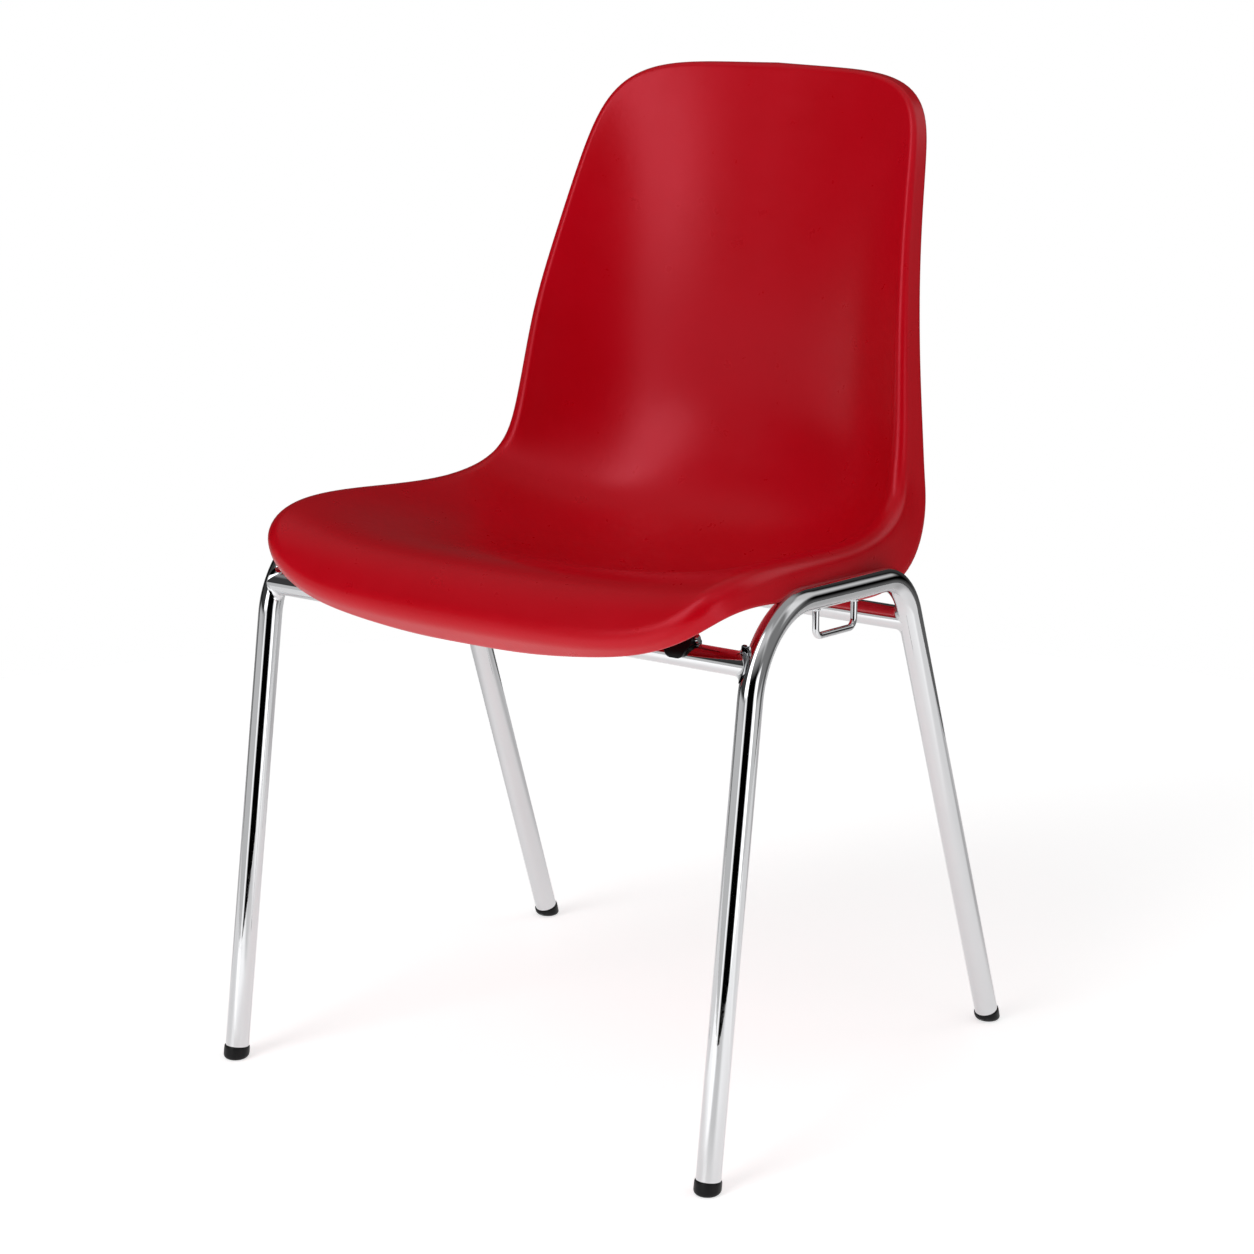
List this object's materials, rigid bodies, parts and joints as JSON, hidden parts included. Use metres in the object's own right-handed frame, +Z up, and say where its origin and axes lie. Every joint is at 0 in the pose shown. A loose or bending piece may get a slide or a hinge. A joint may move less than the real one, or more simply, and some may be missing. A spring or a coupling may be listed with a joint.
{
  "type": "stacking chair",
  "caption": "Armless stacking chair: a moulded bucket shell on a bent tube frame with cross tubes, foot caps and wire links for joining chairs in a row.",
  "frame": {"origin": "on the floor, in the chair's plane of symmetry, midway between the front and the rear feet", "axes": "+Z up; the sitter faces -Y; +X is the sitter's left"},
  "size_m": [0.53, 0.4758, 0.818],
  "materials": {
    "shell": "satin deep red moulding with a very fine grain",
    "chrome": "bright chromed steel tube",
    "cap": "black plastic, slightly scuffed",
    "clip": "satin black plastic",
    "lug": "matt dark red, laminated under the shell",
    "pin": "bright chromed steel",
    "link": "bright chromed steel wire"
  },
  "bodies": {
    "root": {"seat_shell": "shell", "side_tube_left": "chrome", "side_tube_right": "chrome", "cross_tube_front": "chrome", "cross_tube_rear": "chrome", "foot_cap_front_left": "cap", "foot_cap_front_right": "cap", "foot_cap_rear_left": "cap", "foot_cap_rear_right": "cap", "clip_front_left": "clip", "clip_front_right": "clip", "clip_rear_left": "clip", "clip_rear_right": "clip", "lug_front_left": "lug", "lug_front_right": "lug", "lug_rear_left": "lug", "lug_rear_right": "lug", "pin_front_left": "pin", "pin_front_right": "pin", "pin_rear_left": "pin", "pin_rear_right": "pin", "link_loop": "link", "link_hook": "link"}
  },
  "joints": []
}
